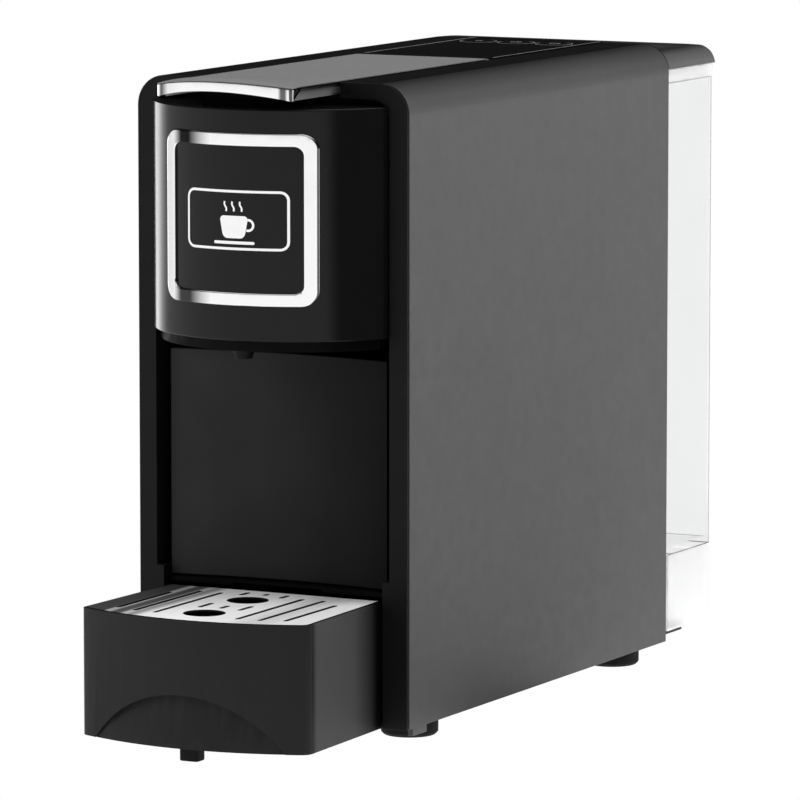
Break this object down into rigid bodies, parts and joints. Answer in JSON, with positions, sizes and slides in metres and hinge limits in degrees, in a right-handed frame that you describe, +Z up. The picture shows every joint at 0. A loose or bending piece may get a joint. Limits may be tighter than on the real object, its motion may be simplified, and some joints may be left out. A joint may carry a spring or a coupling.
{
  "type": "pod coffee machine",
  "caption": "Slim pod coffee machine with lever-driven brew cage, lifting rear water tank, drip tray, pod bin and three keys.",
  "frame": {"origin": "centre of the bounding box in X and Y, on the surface it stands on", "axes": "+Z up, +Y from the front towards the tank, +X to the right as seen from the front"},
  "size_m": [0.115, 0.3506, 0.2535],
  "materials": {
    "black_plastic": "satin moulded plastic",
    "black_gloss": "polished moulded plastic",
    "grey_plastic": "fine satin paint",
    "lever_grey": "satin",
    "bright_chrome": "bright",
    "brushed_steel": "brushed",
    "steel_pins": "ground",
    "gear_steel": "machined",
    "cage_aluminium": "cast",
    "inner_plastic": "moulded, glass-filled",
    "pale_plastic": "moulded",
    "circuit_board": "lacquered",
    "hose_silicone": "silicone",
    "foot_rubber": "matt",
    "clear_plastic": "clear"
  },
  "bodies": {
    "machine": {"base_plate": "black_plastic", "feet": "foot_rubber", "front_frame": "black_plastic", "side_panel_right": "grey_plastic", "side_panel_left": "grey_plastic", "top_deck": "black_plastic", "rear_cover": "black_plastic", "control_panel": "black_gloss", "panel_board": "circuit_board", "head_cover": "black_gloss", "head_ring": "bright_chrome", "outlet_collar": "black_plastic", "coffee_spout": "black_plastic", "bin_housing": "black_plastic", "lever_pin": "steel_pins", "idler_pin": "steel_pins", "pod_chute": "black_plastic", "brew_frame": "inner_plastic", "extraction_plate": "brushed_steel", "pump": "pale_plastic", "pump_mounts": "foot_rubber", "heater": "cage_aluminium", "flow_meter": "pale_plastic", "control_board": "circuit_board", "water_hoses": "hose_silicone", "inlet_hose": "hose_silicone", "cord_gland": "foot_rubber", "tank_seat": "black_plastic", "base_screws": "steel_pins"},
    "lever": {"lever_plate": "lever_grey", "lever_trim": "bright_chrome", "lever_body": "grey_plastic", "sector_gear": "gear_steel"},
    "idler": {"idler_gear": "gear_steel"},
    "cage": {"pod_cage": "cage_aluminium", "pod_rack": "inner_plastic"},
    "tray": {"drip_tray": "black_plastic", "tray_foot": "foot_rubber"},
    "grid": {"drip_grid": "brushed_steel"},
    "bin": {"pod_bin": "black_plastic"},
    "tank": {"water_tank": "clear_plastic", "tank_valve": "inner_plastic", "valve_spring": "steel_pins", "lid_pin": "steel_pins"},
    "lid": {"tank_lid": "black_plastic"},
    "key_small_cup": {"button_small_cup": "black_gloss"},
    "key_power": {"button_power": "black_gloss"},
    "key_large_cup": {"button_large_cup": "black_gloss"}
  },
  "joints": [
    {"name": "lever_hinge", "type": "hinge", "parent": "machine", "child": "lever", "pos_m": [0, 0.0207, 0.2455], "axis": [-1, 0, 0], "range_deg": [0, 85]},
    {"name": "idler_spin", "type": "hinge", "parent": "machine", "child": "idler", "pos_m": [0, 0.0207, 0.21625], "axis": [1, 0, 0], "range_deg": [0, 192]},
    {"name": "cage_slide", "type": "slide", "parent": "machine", "child": "cage", "axis": [0, 1, 0], "range_m": [0, 0.0302], "deforming": ["inlet_hose"]},
    {"name": "tray_slide", "type": "slide", "parent": "machine", "child": "tray", "axis": [0, -1, 0], "range_m": [0, 0.075]},
    {"name": "grid_lift", "type": "slide", "parent": "tray", "child": "grid", "axis": [0, 0, 1], "range_m": [0, 0.06]},
    {"name": "bin_slide", "type": "slide", "parent": "machine", "child": "bin", "axis": [0, -1, 0], "range_m": [0, 0.26]},
    {"name": "tank_lift", "type": "slide", "parent": "machine", "child": "tank", "axis": [0, 0, 1], "range_m": [0, 0.255]},
    {"name": "lid_hinge", "type": "hinge", "parent": "tank", "child": "lid", "pos_m": [0, 0.1731, 0.2401], "axis": [-1, 0, 0], "range_deg": [0, 105]},
    {"name": "small_cup_key", "type": "slide", "parent": "machine", "child": "key_small_cup", "axis": [0, 0, -1], "range_m": [0, 0.0012], "stiffness_N_per_m": 500},
    {"name": "power_key", "type": "slide", "parent": "machine", "child": "key_power", "axis": [0, 0, -1], "range_m": [0, 0.0012], "stiffness_N_per_m": 500},
    {"name": "large_cup_key", "type": "slide", "parent": "machine", "child": "key_large_cup", "axis": [0, 0, -1], "range_m": [0, 0.0012], "stiffness_N_per_m": 500}
  ],
  "couplings": [
    {"joint": "idler_spin", "follows": "lever_hinge", "ratio": 2.25},
    {"joint": "cage_slide", "follows": "lever_hinge", "m_per_rad": 0.02025}
  ]
}
